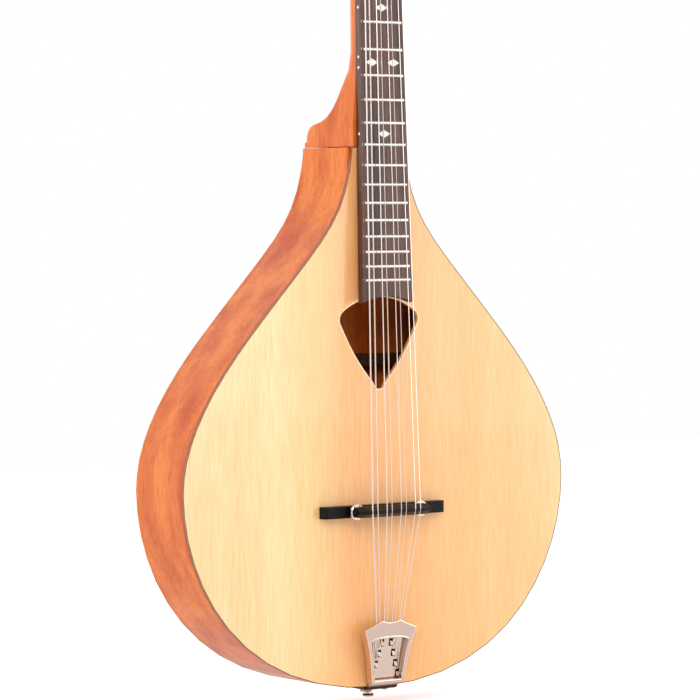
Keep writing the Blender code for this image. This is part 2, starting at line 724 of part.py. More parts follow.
def make_bridge(shop):
    """Floating bridge: base, threaded posts, thumbwheels and the saddle that they raise."""
    z = -SADDLE_DOWN
    half = BRIDGE_LONG / 2
    build = bmesh.new()
    profile = [(-half, -GAP), (half, -GAP), (half, -BASE_TALL + 1.0)]
    profile += [(half - 3.0, -BASE_TALL), (-half + 3.0, -BASE_TALL), (-half, -BASE_TALL + 1.0)]
    prism(build, profile, z - BRIDGE_WIDE / 2, z + BRIDGE_WIDE / 2, plane="xy")
    base = shop.keep("bridge_base", build, "ebony", shop.body)
    bores = bmesh.new()
    for _, side in SIDES:
        lathe(bores, ((-BASE_TALL + 5.5, POST_RADIUS + GAP), (-BASE_TALL - 5.0, POST_RADIUS + GAP)), "y",
              (side * POST_HALF, 0, z), sides=12)
    boolean(base, shop.tool("base_bores", bores, shop.body), "DIFFERENCE")
    wheel_back = -BASE_TALL - WHEEL_GAP
    saddle_back = wheel_back - WHEEL_THICK - GAP
    stud_front = saddle_back - POST_RISE
    for label, side in SIDES:
        build = bmesh.new()
        chamfer = 0.5
        lathe(build, ((-BASE_TALL + 5.5 - GAP, POST_RADIUS), (stud_front + chamfer, POST_RADIUS),
                      (stud_front, POST_RADIUS - chamfer)), "y", sides=12)
        shop.keep("bridge_post_" + label, build, "steel", shop.body, (side * POST_HALF, 0, z))
        build = bmesh.new()
        lathe(build, ((wheel_back, WHEEL_RADIUS - 0.5), (wheel_back - 0.5, WHEEL_RADIUS),
                      (wheel_back - WHEEL_THICK + 0.5, WHEEL_RADIUS),
                      (wheel_back - WHEEL_THICK, WHEEL_RADIUS - 0.5)), "y", sides=24)
        wheel = shop.keep("thumbwheel_" + label, build, "chrome", shop.body, (side * POST_HALF, 0, z))
        bore = bmesh.new()
        wide = POST_RADIUS + GAP
        lathe(bore, ((wheel_back + 5.0, wide), (wheel_back - WHEEL_THICK - 5.0, wide)), "y", sides=12)
        place = (side * POST_HALF, 0, z)
        boolean(wheel, shop.tool("wheel_bore_" + label, bore, shop.body, place), "DIFFERENCE")
    make_saddle(shop, z, saddle_back, stud_front)


def make_saddle(shop, z, back, stud_front):
    """The saddle: rounded ends on the wheels, a sloping front and a groove for each string."""
    reach = POST_HALF + SADDLE_ARM
    strings = -string_over_top()
    front = strings - GAP
    rings = []
    for x in (-reach, -reach + 1.3, -reach + 4.4, -reach + 9.0, reach - 9.0, reach - 4.4, reach - 1.3, reach):
        end = (reach - abs(x))
        round_in = math.sqrt(max(0.0, 1.0 - (1.0 - min(end / 4.4, 1.0)) ** 2))
        wide = mix(SADDLE_WIDE * 0.36, SADDLE_WIDE / 2, round_in)
        rise = mix(0.76, 1.0, min(end / 9.0, 1.0))
        crest = back + (front - back) * rise
        rings.append([(x, back, z - wide), (x, back, z + wide), (x, back - 2.4, z + wide),
                      (x, crest, z + SADDLE_CREST / 2), (x, crest, z - SADDLE_CREST / 2),
                      (x, back - 2.4, z - wide)])
    build = bmesh.new()
    loft(build, rings)
    saddle = shop.keep("bridge_saddle", build, "ebony", shop.body)
    cutter = bmesh.new()
    bore = POST_RADIUS + GAP
    for _, side in SIDES:
        lathe(cutter, ((back + 5.0, bore), (stud_front - WHEEL_GAP, bore)), "y",
              (side * POST_HALF, 0, z), sides=12)
    for string in range(STRINGS):
        x = course_offset(string, SADDLE_SPREAD, SADDLE_PAIR)
        wide = STRING_RADII[string] + GAP
        box(cutter, (x - wide, front - 5.0, z - 8.0), (x + wide, strings + wide, z + 8.0))
    boolean(saddle, shop.tool("saddle_cuts", cutter, shop.body), "DIFFERENCE")


def tailpiece_edge(z):
    """Half width of the tailpiece at a distance z above its foot."""
    t = min(max(z / (TAILPIECE_LONG - TAILPIECE_CROWN), 0.0), 1.0)
    return mix(TAILPIECE_FOOT_HALF, TAILPIECE_TOP_HALF, 0.55 * t + 0.45 * t ** 3)


def tailpiece_slope():
    """Angle between the tailpiece's outer face and the soundboard."""
    return math.atan2(TAILPIECE_HIGH - TAILPIECE_LOW, TAILPIECE_LONG)


def on_slope(below, above):
    """Body frame (depth, z) of a point below the tailpiece's outer face and above its foot."""
    c, s = math.cos(tailpiece_slope()), math.sin(tailpiece_slope())
    return Vector((-TAILPIECE_LOW + below * c - above * s, TAIL_Z + FOOT_SET + below * s + above * c))


def make_tailpiece(shop):
    """Pressed frame with side walls, an upper panel and a window, over the plate with the hooks."""
    slope_frame = shop.frame("tailpiece_slope", (0, -TAILPIECE_LOW, TAIL_Z + FOOT_SET), tailpiece_slope())
    slope_frame.parent = shop.body
    corner = TAILPIECE_LONG - TAILPIECE_CROWN
    heights = [corner * i / TAILPIECE_STEPS for i in range(TAILPIECE_STEPS + 1)]
    side = [Vector((tailpiece_edge(z), z)) for z in heights]
    crown = bezier((TAILPIECE_TOP_HALF, corner), (TAILPIECE_TOP_HALF * 0.74, corner + TAILPIECE_CROWN * 0.3),
                   (TAILPIECE_TOP_HALF * 0.55, corner + TAILPIECE_CROWN * 0.5),
                   (TAILPIECE_CROWN_HALF, TAILPIECE_LONG), 4)
    dip = [Vector((TAILPIECE_CROWN_HALF, TAILPIECE_LONG)),
           Vector((TAILPIECE_CROWN_HALF * 0.5, TAILPIECE_LONG - 1.6)), Vector((0.0, TAILPIECE_LONG - 1.9))]
    outline = mirrored(side + crown[1:] + dip)
    build = bmesh.new()
    prism(build, outline, 0.0, TAILPIECE_SHEET)
    frame = shop.keep("tailpiece_frame", build, "nickel", slope_frame)
    walls = bmesh.new()
    for _, way in SIDES:
        rings = []
        for point in side:
            outer, inner = way * point.x, way * (point.x - TAILPIECE_SHEET)
            rings.append([(outer, TAILPIECE_SHEET * 0.5, point.y), (outer, TAILPIECE_WALL, point.y),
                          (inner, TAILPIECE_WALL, point.y), (inner, TAILPIECE_SHEET * 0.5, point.y)])
        loft(walls, rings)
    boolean(frame, shop.tool("tailpiece_walls", walls, slope_frame), "UNION")
    arch_foot = corner - PANEL_LONG + TAILPIECE_CROWN
    window = [Vector((tailpiece_edge(z) - RAIL_WIDE, z)) for z in (3.0, arch_foot * 0.5, arch_foot)]
    width = tailpiece_edge(arch_foot) - RAIL_WIDE
    arch_top = arch_foot + ARCH_RISE
    window += bezier((width, arch_foot), (width * 0.66, arch_foot + ARCH_RISE * 0.8),
                     (width * 0.33, arch_top), (0.0, arch_top), 5)[1:]
    window.append(Vector((0.0, arch_top)))
    cutter = bmesh.new()
    prism(cutter, mirrored(window), -4.0, TAILPIECE_SHEET + 0.8)
    boolean(frame, shop.tool("tailpiece_window", cutter, slope_frame), "DIFFERENCE")
    make_hook_plate(shop, slope_frame)


def plate_stations():
    """Places along the hook plate's floor, from its upper end down to its bend."""
    corner = TAILPIECE_LONG - TAILPIECE_CROWN
    steps = [corner * i / TAILPIECE_STEPS for i in range(TAILPIECE_STEPS, 0, -1)]
    return [corner - 4.0] + [z for z in steps if BEND_START + 1.0 < z < corner - 4.0]


def plate_side(below, leg):
    """One face of the hook plate as (depth, z) points: its floor, its bend and its leg."""
    stations = plate_stations()
    top = stations[0]
    start = on_slope(below, BEND_START)
    along = (start - on_slope(below, top)).normalized()
    corner = start + along * (leg - start.y) / along.y
    end = Vector((corner.x + BEND_START, leg))
    bend = bezier(start, start.lerp(corner, 0.62), end.lerp(corner, 0.62), end, 5)
    down = [end, Vector((LEG_LONG - 6.0, leg)), Vector((LEG_LONG, leg))]
    return [on_slope(below, z) for z in stations] + bend + down


def make_hook_plate(shop, slope_frame):
    """The inner plate: hooks along its floor, bent at the tail and running down it as a leg."""
    floor = FLOOR_DROP
    leg = TAIL_Z - GAP - TAILPIECE_SHEET
    outer = plate_side(floor, leg)
    inner = plate_side(floor + TAILPIECE_SHEET, leg + TAILPIECE_SHEET)
    foot_half = TAILPIECE_FOOT_HALF - TAILPIECE_SHEET - GAP
    halves = [tailpiece_edge(z) - TAILPIECE_SHEET - GAP for z in plate_stations()]
    halves += [foot_half] * (len(outer) - len(halves) - 1) + [foot_half * 0.6]
    rings = []
    for half, near, far in zip(halves, outer, inner):
        rings.append([(-half, near.x, near.y), (half, near.x, near.y),
                      (half, far.x, far.y), (-half, far.x, far.y)])
    build = bmesh.new()
    loft(build, rings)
    plate = shop.keep("tailpiece_hook_plate", build, "nickel", shop.body, smooth=False)
    hooks = bmesh.new()
    for x, z in hook_places():
        lean_hook = 1.6
        tip = z - HOOK_LONG * 0.55
        profile = [(floor + 0.6, z), (floor + 0.6, z + HOOK_THICK * 1.6)]
        profile += [(floor - lean_hook, tip + HOOK_THICK), (floor - lean_hook, tip)]
        prism(hooks, profile, x - HOOK_WIDE / 2, x + HOOK_WIDE / 2, plane="yz")
    boolean(plate, shop.tool("string_hooks", hooks, slope_frame), "UNION")
    boolean(plate, bpy.data.objects["tail_holes"], "DIFFERENCE")


def hook_places():
    """The string hooks on the plate as (x, distance above the foot), two columns of four."""
    places = []
    for row in range(HOOK_ROWS):
        for _, side in SIDES:
            slant = HOOK_SLANT * (HOOK_ROWS - 1 - row)
            places.append((side * (HOOK_HALF + slant), HOOK_FIRST + HOOK_PITCH * row))
    return places


def make_tail_fittings(shop):
    """The end pin and the screws of the tailpiece's leg."""
    leg = TAIL_Z - GAP - TAILPIECE_SHEET - GAP
    seat = leg - 0.6
    build = bmesh.new()
    profile = ((TAIL_Z + PIN_LONG, PIN_RADIUS * 0.5), (TAIL_Z + PIN_LONG - 3.0, PIN_RADIUS * 0.9),
               (seat, PIN_RADIUS), (seat - 0.2, PIN_HEAD * 0.78),
               (seat - 1.4, PIN_HEAD * 0.72), (seat - 3.0, PIN_RADIUS * 0.95),
               (TAIL_Z - PIN_STANDOFF + 2.4, PIN_RADIUS), (TAIL_Z - PIN_STANDOFF + 2.0, PIN_HEAD * 0.9),
               (TAIL_Z - PIN_STANDOFF + 1.2, PIN_HEAD), (TAIL_Z - PIN_STANDOFF, PIN_HEAD * 0.82))
    lathe(build, profile, "z")
    shop.keep("end_pin", build, "nickel", shop.body, (0, PIN_DEPTH, 0))
    for number, (x, depth) in enumerate(screw_places(), 1):
        build = bmesh.new()
        profile = ((TAIL_Z + SCREW_LONG, SCREW_RADIUS * 0.3), (TAIL_Z + SCREW_LONG - 3.0, SCREW_RADIUS),
                   (seat, SCREW_RADIUS), (seat, SCREW_HEAD),
                   (seat - 0.8, SCREW_HEAD * 0.86), (seat - 1.3, SCREW_HEAD * 0.4))
        lathe(build, profile, "z", sides=10)
        shop.keep("tailpiece_screw_" + str(number), build, "nickel", shop.body, (x, depth, 0))


def make_machines(shop):
    """Two plates, each with four posts that carry a gear, and four worm shafts with a button."""
    last = POST_FIRST + POST_PITCH * (COURSES - 1)
    for label, side in SIDES:
        build = bmesh.new()
        low, high = side * (POST_SIDE - 10.0), side * (POST_SIDE + 10.0)
        outline = [(low, POST_FIRST - 9.0), (high, POST_FIRST - 9.0), (high, last + 17.0), (low, last + 17.0)]
        prism(build, outline, HEAD_THICK + GAP, PLATE_BACK)
        plate = shop.keep("tuner_plate_" + label, build, "nickel", shop.head, smooth=False)
        ears = bmesh.new()
        cutter = bmesh.new()
        for place_label, _, _, x, along in post_places():
            if place_label != label:
                continue
            worm = along + WORM_SET
            for inner in (-1, 1):
                left = x + inner * EAR_HALF - EAR_THICK / 2
                outline = [(PLATE_BACK - 0.5, worm - 3.4), (HEAD_THICK + GAP + EAR_TALL, worm - 2.4),
                           (HEAD_THICK + GAP + EAR_TALL, worm + 2.4), (PLATE_BACK - 0.5, worm + 3.4)]
                prism(ears, outline, left, left + EAR_THICK, plane="yz")
            bore, shaft = TUNER_POST_RADIUS + GAP, SHAFT_RADIUS + GAP
            lathe(cutter, ((HEAD_THICK - 4.0, bore), (PLATE_BACK + 6.0, bore)), "y", (x, 0, along), sides=12)
            lathe(cutter, ((x - 15.0, shaft), (x + 15.0, shaft)), "x", (0, SHAFT_BACK, worm), sides=10)
        boolean(plate, shop.tool("plate_ears_" + label, ears, shop.head), "UNION")
        boolean(plate, shop.tool("plate_holes_" + label, cutter, shop.head), "DIFFERENCE")
    for label, side, number, x, along in post_places():
        make_post(shop, label, number, x, along)
        make_button(shop, label, side, number, x, along + WORM_SET)


def make_post(shop, label, number, x, along):
    """A string post through the headstock, with its gear behind the plate."""
    front = -GAP - VENEER
    waist = front - WAIST_HEIGHT
    radius = TUNER_POST_RADIUS
    profile = ((GEAR_BACK + GEAR_THICK, GEAR_RADIUS - 0.6), (GEAR_BACK + GEAR_THICK - 0.6, GEAR_RADIUS),
               (GEAR_BACK + 0.4, GEAR_RADIUS), (GEAR_BACK, GEAR_RADIUS - 0.4), (GEAR_BACK, radius + 1.2),
               (PLATE_BACK + GAP, radius + 1.2), (PLATE_BACK + GAP, radius),
               (waist + 3.4, radius), (waist + 2.0, WAIST_RADIUS),
               (waist - 2.0, WAIST_RADIUS), (waist - 3.2, radius),
               (front - TUNER_POST_TALL + 0.8, radius), (front - TUNER_POST_TALL, radius - 0.8))
    build = bmesh.new()
    lathe(build, profile, "y", sides=14)
    shop.keep("tuner_post_" + label + "_" + str(number), build, "nickel", shop.head, (x, 0, along))


def make_button(shop, label, side, number, x, along):
    """A worm on its shaft, through both ears, with an oval button outside the headstock."""
    start = HEAD_HALF + BUTTON_START - POST_SIDE
    inner = -EAR_HALF - EAR_THICK
    build = bmesh.new()
    rings = []
    end = WORM_LONG / 2
    turned = ((inner, SHAFT_RADIUS), (-end, SHAFT_RADIUS), (-end, WORM_RADIUS), (end, WORM_RADIUS),
              (end, SHAFT_RADIUS), (start, SHAFT_RADIUS), (start, SHAFT_RADIUS * 1.8))
    profile = [(distance, radius, radius) for distance, radius in turned]
    oval = ((0.12, 0.55, 0.62), (0.3, 0.86, 0.92), (0.55, 1.0, 1.0), (0.8, 0.9, 0.86), (0.94, 0.62, 0.56),
            (1.0, 0.3, 0.26))
    for share, tall, thick in oval:
        profile.append((start + BUTTON_LONG * share, BUTTON_TALL * tall, BUTTON_THICK * thick))
    for distance, tall, thick in profile:
        ring = []
        for i in range(12):
            angle = 2 * math.pi * (i + 0.5) / 12
            ring.append((side * distance, thick * math.sin(angle), tall * math.cos(angle)))
        rings.append(ring)
    loft(build, rings)
    name = "tuner_button_" + label + "_" + str(number)
    shop.keep(name, build, "pearloid", shop.head, (x, SHAFT_BACK, along))


def string_route(string):
    """The way of one string: hook, tailpiece, saddle, nut, and its turns round the post."""
    body = Matrix.Translation((0, BODY_DROP, -BODY_JOINT)) @ Matrix.Rotation(TILT, 4, "X")
    head = Matrix.Translation((0, 0, NUT_LENGTH + GAP)) @ Matrix.Rotation(-HEAD_ANGLE, 4, "X")
    foot = Matrix.Translation((0, -TAILPIECE_LOW, TAIL_Z + FOOT_SET))
    tail = body @ foot @ Matrix.Rotation(tailpiece_slope(), 4, "X")
    row = (string % 4) if string < 4 else (7 - string)
    hook_x, hook_z = hook_places()[2 * row + (0 if string < 4 else 1)]
    entry = course_offset(string, TAIL_SPREAD, TAIL_PAIR)
    points = [tail @ Vector((hook_x, FLOOR_DROP - STRING_RADII[string] - GAP, hook_z + 3.2)),
              tail @ Vector((mix(hook_x, entry, 0.6), TAILPIECE_SHEET + 1.5, TAILPIECE_LONG - 14.0)),
              tail @ Vector((entry, TAILPIECE_SHEET + 1.1, TAILPIECE_LONG + 1.0))]
    points.append(Vector((course_offset(string, SADDLE_SPREAD, SADDLE_PAIR), -string_height(SCALE), -SCALE)))
    points.append(Vector((course_offset(string, NUT_SPREAD, NUT_PAIR), -STRING_FLOOR, 0.0)))
    side = -1 if string < COURSES else 1
    number = string if side < 0 else STRINGS - 1 - string
    post_x, post_z = side * POST_SIDE, POST_FIRST + POST_PITCH * number
    wind = WAIST_RADIUS + STRING_RADII[string] + GAP
    turns, per_turn = 2, 10
    pitch = 2 * STRING_RADII[string] + 0.45
    start_y = -GAP - VENEER - WAIST_HEIGHT - pitch
    for i in range(turns * per_turn + 1):
        angle = 2 * math.pi * i / per_turn
        x = post_x - side * wind * math.cos(angle)
        z = post_z + wind * math.sin(angle)
        points.append(head @ Vector((x, start_y + pitch * i / per_turn, z)))
    return points


def make_strings(shop):
    """Eight strings, each a tube along its whole route."""
    for string in range(STRINGS):
        curve = bpy.data.curves.new("string_" + str(string + 1), "CURVE")
        curve.dimensions = "3D"
        curve.bevel_depth = STRING_RADII[string] * 0.001
        curve.bevel_resolution = 1
        curve.use_fill_caps = True
        points = string_route(string)
        spline = curve.splines.new("POLY")
        spline.points.add(len(points) - 1)
        for knot, point in zip(spline.points, points):
            knot.co = (*metres(point), 1.0)
        curve.materials.append(shop.finishes["steel"])
        piece = bpy.data.objects.new("string_" + str(string + 1), curve)
        bpy.context.collection.objects.link(piece)
        piece.parent = shop.neck


def make_heel_cap(shop):
    """A thin cap on the back of the heel, in line with the back plate."""
    near = BODY_DEPTH - HEEL_CAP_THICK
    top = BODY_JOINT - HEEL_TOP - HEEL_CORNER
    half = HEEL_SIDE - 1.0
    outline = [Vector((half, GAP)), Vector((half, top * 0.6))]
    outline += [Vector((half * 0.7, top)), Vector((0.0, top + 0.6))]
    build = bmesh.new()
    prism(build, mirrored(outline), near, BODY_DEPTH)
    shop.keep("heel_cap", build, "mahogany", shop.body, smooth=False)


def main():
    """Build the instrument from the body outwards."""
    shop = Workshop()
    tail_tool = tail_cutter(shop)
    make_soundboard(shop)
    make_back(shop)
    make_rim(shop, tail_tool)
    make_blocks(shop, tail_tool)
    make_braces(shop)
    make_neck(shop)
    make_heel_cap(shop)
    make_headstock_face(shop)
    make_fingerboard(shop)
    make_nut(shop)
    make_bridge(shop)
    make_tailpiece(shop)
    make_tail_fittings(shop)
    make_machines(shop)
    make_strings(shop)


main()
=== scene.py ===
"""Looks of the irish bouzouki: the finish of every piece, the frets and inlays, light and camera.

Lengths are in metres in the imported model's frame: +Z up the neck, the strings face -Y, bass at -X.
"""

import enum
import json
import logging
import math
from dataclasses import dataclass, field

import bpy
import numpy as np
from mathutils import Matrix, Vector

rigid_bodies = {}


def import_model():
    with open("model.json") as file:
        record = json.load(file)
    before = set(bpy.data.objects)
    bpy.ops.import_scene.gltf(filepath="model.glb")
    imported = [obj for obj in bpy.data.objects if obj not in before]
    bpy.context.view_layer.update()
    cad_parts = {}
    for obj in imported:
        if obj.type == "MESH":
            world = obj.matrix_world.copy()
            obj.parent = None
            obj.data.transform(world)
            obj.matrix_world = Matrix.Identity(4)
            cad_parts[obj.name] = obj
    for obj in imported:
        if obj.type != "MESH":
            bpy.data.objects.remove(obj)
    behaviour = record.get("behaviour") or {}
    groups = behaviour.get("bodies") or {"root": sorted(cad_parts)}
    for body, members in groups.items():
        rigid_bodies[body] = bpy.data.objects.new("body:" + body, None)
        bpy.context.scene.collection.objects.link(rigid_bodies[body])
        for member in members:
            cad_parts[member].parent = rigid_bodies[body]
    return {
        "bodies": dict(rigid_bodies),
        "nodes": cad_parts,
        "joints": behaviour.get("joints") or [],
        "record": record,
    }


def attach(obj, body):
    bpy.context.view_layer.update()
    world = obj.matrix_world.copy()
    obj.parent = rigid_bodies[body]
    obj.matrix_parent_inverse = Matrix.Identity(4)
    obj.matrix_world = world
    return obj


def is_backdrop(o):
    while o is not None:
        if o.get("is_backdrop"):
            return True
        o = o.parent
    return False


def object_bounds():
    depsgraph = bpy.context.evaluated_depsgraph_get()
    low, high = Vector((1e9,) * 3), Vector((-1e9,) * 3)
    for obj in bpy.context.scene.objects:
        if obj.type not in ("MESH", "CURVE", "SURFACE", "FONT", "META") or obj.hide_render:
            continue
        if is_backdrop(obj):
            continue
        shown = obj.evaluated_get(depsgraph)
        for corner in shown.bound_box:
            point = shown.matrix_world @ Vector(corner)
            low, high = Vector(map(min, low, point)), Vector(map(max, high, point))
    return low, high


LOG = logging.getLogger("bouzouki")
MM = 0.001
SHARP = math.radians(35)                 # sharper edges stay crisp on a smooth piece
BODY_LEAN = math.radians(1.9)            # the body leans back from the neck
BOARD_NORMAL = (0.0, 0.99945, 0.033155)  # into the soundboard from its front face
BOARD_UP = (0.0, -0.033155, 0.99945)     # up that face
BOARD_PLANE = -0.01173207                # where the face lies along its normal
HOLE_MIDDLE = -0.527                     # the soundhole's middle on the centre line
HOLE_REACH = 0.062                       # corners nearer to that middle are the hole's, not the rim's


class Grain(enum.Enum):
    """Which way the grain of a piece of wood runs, as the stretch of its pattern along X, Y and Z."""

    UP = (1.0, 1.0, 0.045)
    ACROSS = (0.045, 1.0, 1.0)
    ROUND = (1.0, 1.0, 0.16)


def linear(code: str) -> tuple[float, float, float, float]:
    """Turn an sRGB hex colour into linear values.

    Args:
        code: six hex digits.

    Returns:
        Red, green, blue and an alpha of one.
    """
    values = [int(code[i:i + 2], 16) / 255 for i in (0, 2, 4)]
    return tuple(v / 12.92 if v <= 0.04045 else ((v + 0.055) / 1.055) ** 2.4 for v in values) + (1.0,)


def add(tree: bpy.types.NodeTree, kind: str, settings: dict | None = None,
        links: dict | None = None) -> bpy.types.Node:
    """Add a node with its settings and links.

    Args:
        tree: the material's or world's tree.
        kind: the node's type name.
        settings: attributes, or values of inputs by name or number.
        links: sockets that feed inputs by name or number.

    Returns:
        The new node.
    """
    node = tree.nodes.new(kind)
    for name, value in (settings or {}).items():
        if isinstance(name, str) and hasattr(node, name):
            setattr(node, name, value)
        else:
            node.inputs[name].default_value = value
    for name, socket in (links or {}).items():
        tree.links.new(socket, node.inputs[name])
    return node


def surface(name: str, **values: float | tuple) -> tuple[bpy.types.Material, bpy.types.NodeTree,
                                                         bpy.types.Node]:
    """Start a material.

    Args:
        name: the material's name.
        values: inputs of its Principled shader, with underscores for spaces.

    Returns:
        The material, its tree and its shader.
    """
    material = bpy.data.materials.new(name)
    material.use_nodes = True
    tree = material.node_tree
    shader = tree.nodes["Principled BSDF"]
    for key, value in values.items():
        shader.inputs[key.replace("_", " ")].default_value = value
    return material, tree, shader


def ramp(tree: bpy.types.NodeTree, source: bpy.types.NodeSocket, stops: tuple) -> bpy.types.NodeSocket:
    """Colour a value with a ramp.

    Args:
        tree: the material's tree.
        source: the value, from 0 to 1.
        stops: (place, hex colour) pairs in rising order.

    Returns:
        The ramp's colour socket.
    """
    node = add(tree, "ShaderNodeValToRGB", links={"Fac": source})
    elements = node.color_ramp.elements
    while len(elements) < len(stops):
        elements.new(0.5)
    for element, (place, code) in zip(elements, stops):
        element.position = place
        element.color = linear(code)
    return node.outputs["Color"]


@dataclass(frozen=True)
class Wood:
    """A wood finish: growth lines along the grain, soft bands over them and a clear coat."""

    name: str
    stops: tuple
    bands: tuple
    grain: Grain = Grain.UP
    line_mm: float = 1.0
    band_mm: float = 40.0
    roughness: float = 0.35
    coat: float = 0.0
    bump: float = 0.02
    specular: float = 0.5
    coat_roughness: float = 0.04
    ior: float = 1.5
    relief_mm: float = 0.2
    line_detail: float = 3.0
    band_detail: float = 2.0

    def make(self) -> bpy.types.Material:
        """Build the material: the lines' colour times the bands' colour, and a faint relief of the lines.

        Returns:
            The material, with its pattern in object coordinates.
        """
        material, tree, shader = surface(
            self.name, Roughness=self.roughness, Coat_Weight=self.coat, Coat_Roughness=self.coat_roughness,
            IOR=self.ior, Specular_IOR_Level=self.specular)
        place = add(tree, "ShaderNodeTexCoord")
        lean = add(tree, "ShaderNodeMapping", {"Scale": self.grain.value},
                   {"Vector": place.outputs["Object"]})
        lines = add(tree, "ShaderNodeTexNoise",
                    {"Scale": 1.0 / (self.line_mm * MM), "Detail": self.line_detail},
                    {"Vector": lean.outputs["Vector"]})
        bands = add(tree, "ShaderNodeTexNoise",
                    {"Scale": 1.0 / (self.band_mm * MM), "Detail": self.band_detail},
                    {"Vector": lean.outputs["Vector"]})
        mix = add(tree, "ShaderNodeMix", {"data_type": "RGBA", "blend_type": "MULTIPLY", "Factor": 1.0},
                  {"A": ramp(tree, lines.outputs["Fac"], self.stops),
                   "B": ramp(tree, bands.outputs["Fac"], self.bands)})
        tree.links.new(mix.outputs["Result"], shader.inputs["Base Color"])
        relief = add(tree, "ShaderNodeBump", {"Strength": self.bump, "Distance": self.relief_mm * MM},
                     {"Height": lines.outputs["Fac"]})
        tree.links.new(relief.outputs["Normal"], shader.inputs["Normal"])
        return material


@dataclass(frozen=True)
class Spruce(Wood):
    """The soundboard's wood: warmer beside the strings than at its flanks, partly its own colour and partly
    painted shade and reflection of the neck, and dark brown on its edge.
    """

    # Colour across the board: the wood's own warmth, with painted shade and reflection of the neck in the
    # deeper orange band left of the middle
    tone_and_shade: tuple = ((0.0, "FFE9BC"), (0.32, "FFDFA6"), (0.43, "FFBE80"), (0.55, "FFC488"), (0.75, "FFCC8E"),
                   (1.0, "FFDDA6"))
    edge_colour: str = "A04A14"
    half_width: float = 0.18
    edge: float = 0.0001

    def make(self) -> bpy.types.Material:
        """Build the material: a colour across the board, partly painted shade and reflection of the neck,
        times the grain, and dark brown behind the front edge.

        Returns:
            The material. The dark brown starts where a point lies behind the front face, away from the hole.
        """
        material = super().make()
        tree = material.node_tree
        shader = tree.nodes["Principled BSDF"]
        grain = shader.inputs["Base Color"].links[0].from_socket
        place = add(tree, "ShaderNodeTexCoord").outputs["Object"]
        axes = add(tree, "ShaderNodeSeparateXYZ", links={"Vector": place})
        across = add(tree, "ShaderNodeMapRange",
                     {"From Min": -self.half_width, "From Max": self.half_width},
                     {"Value": axes.outputs["X"]})
        toned_and_shaded = add(tree, "ShaderNodeMix", {"data_type": "RGBA", "blend_type": "MULTIPLY", "Factor": 1.0},
                    {"A": ramp(tree, across.outputs["Result"], self.tone_and_shade), "B": grain})
        depth = add(tree, "ShaderNodeVectorMath", {"operation": "DOT_PRODUCT", 1: BOARD_NORMAL}, {0: place})
        behind = add(tree, "ShaderNodeMath", {"operation": "GREATER_THAN", 1: BOARD_PLANE + self.edge},
                     {0: depth.outputs["Value"]})
        away = add(tree, "ShaderNodeVectorMath", {"operation": "DISTANCE", 1: (0.0, 0.0, HOLE_MIDDLE)},
                   {0: place})
        outside = add(tree, "ShaderNodeMath", {"operation": "GREATER_THAN", 1: HOLE_REACH},
                      {0: away.outputs["Value"]})
        both = add(tree, "ShaderNodeMath", {"operation": "MULTIPLY"},
                   {0: behind.outputs[0], 1: outside.outputs[0]})
        rimmed = add(tree, "ShaderNodeMix", {"data_type": "RGBA", "B": linear(self.edge_colour)},
                     {"Factor": both.outputs[0], "A": toned_and_shaded.outputs["Result"]})
        tree.links.new(rimmed.outputs["Result"], shader.inputs["Base Color"])
        return material


@dataclass(frozen=True)
class Metal:
    """A metal finish with a faint uneven polish."""

    name: str
    colour: str
    roughness: float
    streak_mm: float = 3.0
    wander: float = 0.3
    detail: float = 4.0

    def make(self) -> bpy.types.Material:
        """Build the material.

        Returns:
            The material, whose roughness wanders a little round its own value.
        """
        material, tree, shader = surface(self.name, Base_Color=linear(self.colour), Metallic=1.0)
        place = add(tree, "ShaderNodeTexCoord")
        noise = add(tree, "ShaderNodeTexNoise",
                    {"Scale": 1.0 / (self.streak_mm * MM), "Detail": self.detail},
                    {"Vector": place.outputs["Object"]})
        span = add(tree, "ShaderNodeMapRange", {"To Min": self.roughness * (1.0 - self.wander),
                                                "To Max": self.roughness * (1.0 + self.wander)},
                   {"Value": noise.outputs["Fac"]})
        tree.links.new(span.outputs["Result"], shader.inputs["Roughness"])
        return material


@dataclass(frozen=True)
class Folded(Metal):
    """Plated sheet, a little dull, whose fold down the tail is painted brown as painted shade and dark
    reflection.
    """

    shade: str = "4A2A22"
    fold: tuple[float, float] = (-0.7952, -0.7926)

    def make(self) -> bpy.types.Material:
        """Build the material: its colour runs from the shade to the plate's own over the fold's height.

        Returns:
            The material.
        """
        material = super().make()
        tree = material.node_tree
        place = add(tree, "ShaderNodeTexCoord").outputs["Object"]
        axes = add(tree, "ShaderNodeSeparateXYZ", links={"Vector": place})
        height = add(tree, "ShaderNodeMapRange", {"From Min": self.fold[0], "From Max": self.fold[1]},
                     {"Value": axes.outputs["Z"]})
        colour = ramp(tree, height.outputs["Result"], ((0.0, self.shade), (1.0, self.colour)))
        tree.links.new(colour, tree.nodes["Principled BSDF"].inputs["Base Color"])
        return material


@dataclass(frozen=True)
class Shell:
    """Mother of pearl, a pearl-like plastic or bone: pale, with soft cloudy bands."""

    name: str
    stops: tuple
    cloud_mm: float = 3.0
    roughness: float = 0.2
    coat: float = 0.5
    swirl: float = 1.5

    def make(self) -> bpy.types.Material:
        """Build the material.

        Returns:
            The material, whose colour drifts in clouds between its stops.
        """
        material, tree, shader = surface(self.name, Roughness=self.roughness, Coat_Weight=self.coat)
        place = add(tree, "ShaderNodeTexCoord")
        noise = add(tree, "ShaderNodeTexNoise",
                    {"Scale": 1.0 / (self.cloud_mm * MM), "Distortion": self.swirl},
                    {"Vector": place.outputs["Object"]})
        tree.links.new(ramp(tree, noise.outputs["Fac"], self.stops), shader.inputs["Base Color"])
        return material


# Spruce, quarter sawn under gloss varnish: fine upright lines about 1.3 mm apart on pale gold
SPRUCE = Spruce("varnished_spruce", ((0.3, "F3EBDC"), (0.7, "FFFFFF")), ((0.3, "FBF0E2"), (0.7, "FFFFFF")),
                line_mm=1.3, band_mm=34.0, roughness=0.3, coat=0.35)
